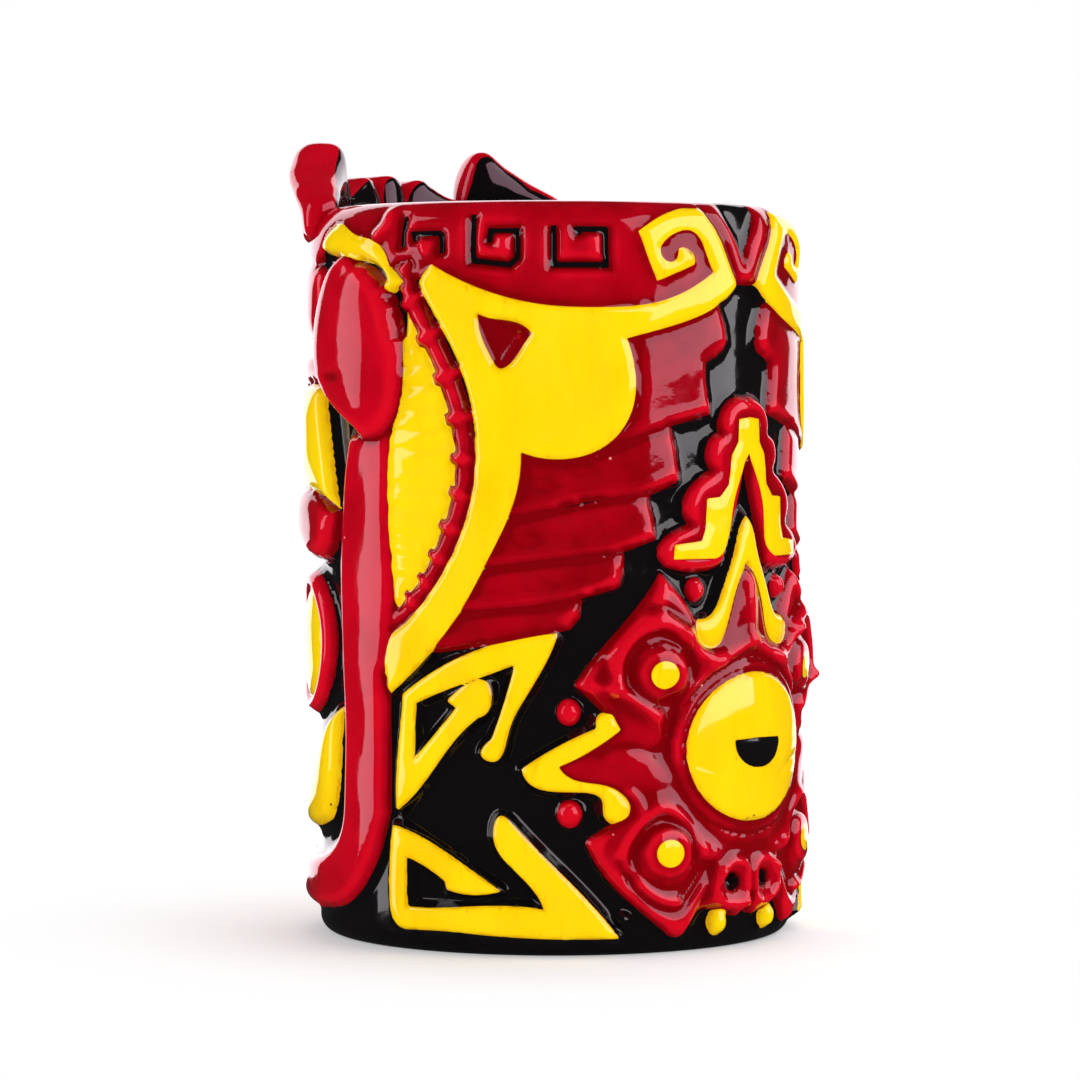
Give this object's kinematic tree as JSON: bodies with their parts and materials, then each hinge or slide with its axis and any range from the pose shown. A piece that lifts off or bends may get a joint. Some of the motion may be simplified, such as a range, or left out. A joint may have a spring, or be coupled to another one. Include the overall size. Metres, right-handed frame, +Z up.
{
  "type": "tiki mug",
  "caption": "Tall handleless glazed ceramic tiki mug with carved masks, scrolls and a raised crest at the front of the rim; holds a drink.",
  "frame": {"origin": "centre of the flat foot, on the surface that the mug stands on", "axes": "+Z up along the cup's axis; -Y towards the tiki's face and crest, +Y towards the rear mask; the mug is mirror symmetric about X = 0"},
  "size_m": [0.098, 0.0978, 0.1477],
  "materials": {
    "red_glaze": "very glossy hand-brushed red glaze",
    "yellow_glaze": "very glossy hand-brushed yellow glaze",
    "black_glaze": "very glossy black glaze"
  },
  "bodies": {
    "root": {"big_eye": "yellow_glaze", "black_studs": "black_glaze", "brow_leaf_left": "yellow_glaze", "brow_leaf_right": "yellow_glaze", "bulb_left": "red_glaze", "bulb_right": "red_glaze", "cheek_discs": "yellow_glaze", "cheek_rings": "red_glaze", "chevron": "yellow_glaze", "crest_centre": "red_glaze", "crest_horn_left": "red_glaze", "crest_horn_right": "red_glaze", "crest_peaks": "red_glaze", "eye_bags": "red_glaze", "eye_ring": "red_glaze", "feather_1_left": "red_glaze", "feather_1_right": "red_glaze", "feather_2_left": "red_glaze", "feather_2_right": "red_glaze", "feather_3_left": "red_glaze", "feather_3_right": "red_glaze", "feather_4_left": "red_glaze", "feather_4_right": "red_glaze", "feather_5_left": "red_glaze", "feather_5_right": "red_glaze", "fin_left": "yellow_glaze", "fin_right": "yellow_glaze", "front_brow": "red_glaze", "front_eyes": "yellow_glaze", "front_lids": "red_glaze", "front_pupils": "black_glaze", "jaw_frame": "red_glaze", "lower_glyph_left": "yellow_glaze", "lower_glyph_right": "yellow_glaze", "mask_eyeballs": "red_glaze", "mask_irises": "yellow_glaze", "mug_body": "black_glaze", "nose": "red_glaze", "nostril_drops": "yellow_glaze", "pupil": "black_glaze", "rear_mask": "red_glaze", "rear_v": "red_glaze", "red_studs": "red_glaze", "rim_band_left": "red_glaze", "rim_band_right": "red_glaze", "rope_left": "red_glaze", "rope_right": "red_glaze", "teeth": "yellow_glaze", "tower": "red_glaze", "tower_inlay": "yellow_glaze", "tusks": "yellow_glaze", "upper_glyph_left": "yellow_glaze", "upper_glyph_right": "yellow_glaze", "upper_lip": "red_glaze", "wing_scroll_left": "yellow_glaze", "wing_scroll_right": "yellow_glaze", "wing_windows": "red_glaze", "zigzag_left": "yellow_glaze", "zigzag_right": "yellow_glaze"}
  },
  "joints": []
}
